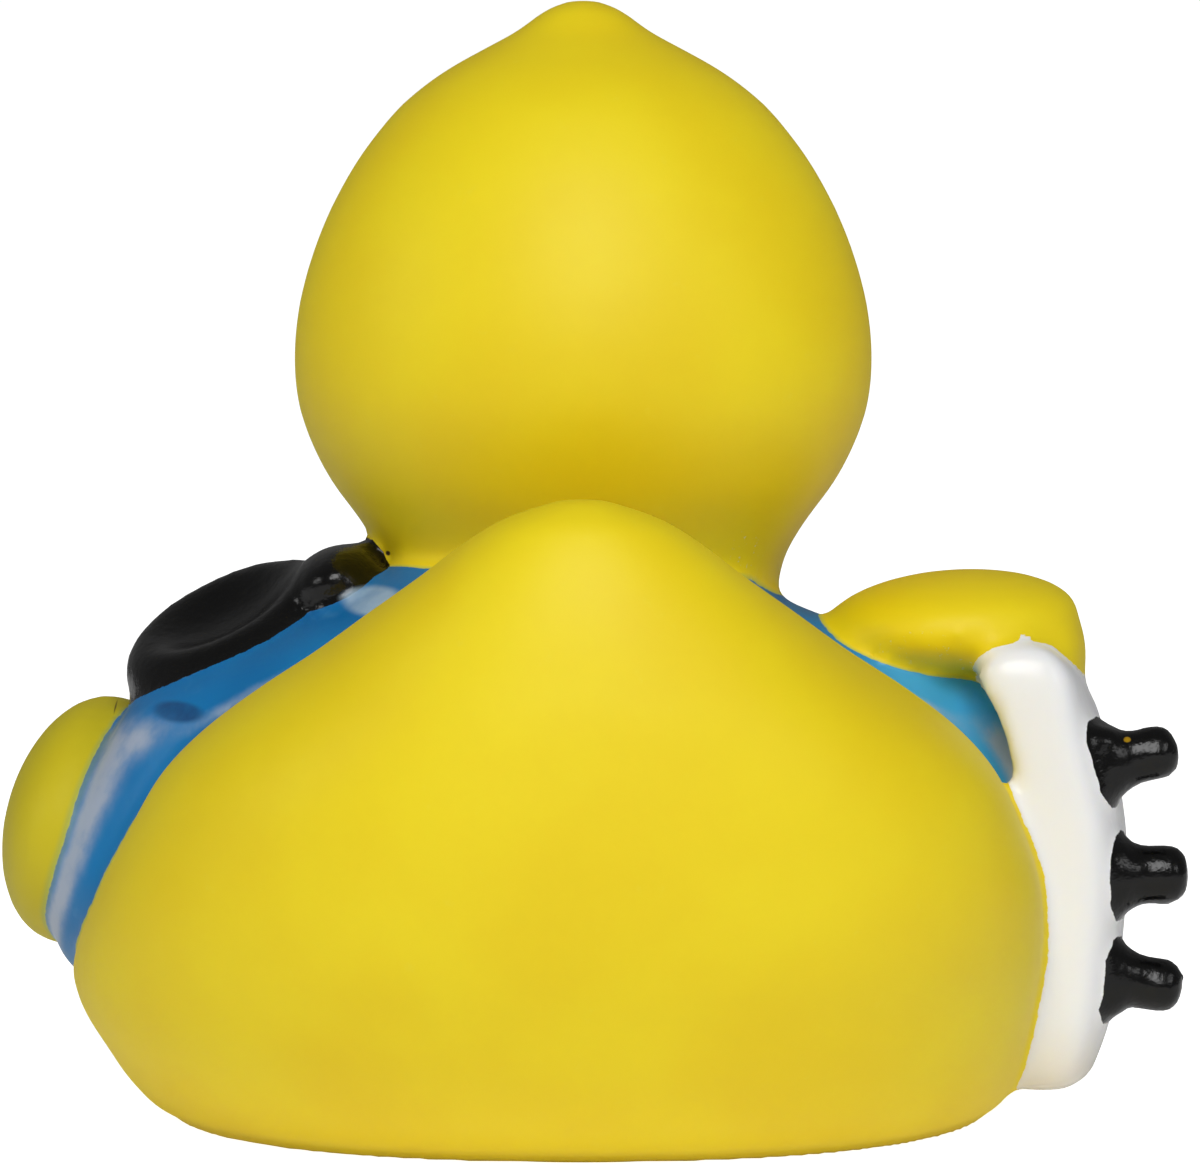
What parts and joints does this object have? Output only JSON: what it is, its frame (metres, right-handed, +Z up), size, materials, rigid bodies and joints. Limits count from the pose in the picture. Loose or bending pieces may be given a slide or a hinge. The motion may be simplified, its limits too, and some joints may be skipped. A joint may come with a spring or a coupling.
{
  "type": "rubber duck",
  "caption": "Squeaky bath duck: a hollow moulded vinyl shell in a painted waistcoat, with a flat base, a raised tail, a studded board on its right flank and a dished pad on its left shoulder.",
  "frame": {"origin": "on the ground under the middle of the duck's bounding box", "axes": "+Z up, the duck looks along -Y with its tail towards +Y, and its right side with the studded board is towards -X"},
  "size_m": [0.087, 0.0848, 0.0803],
  "materials": {
    "yellow_vinyl": "soft matte yellow vinyl, with a sprayed blue waistcoat, a white board and gloss black pegs and pad",
    "white_polyethylene": "as moulded, natural white",
    "clear_polyethylene": "as moulded, cloudy",
    "reed_film": "smooth film"
  },
  "bodies": {
    "root": {"duck_body": "yellow_vinyl", "whistle_housing": "white_polyethylene", "reed_holder": "clear_polyethylene", "reed": "reed_film"}
  },
  "joints": []
}
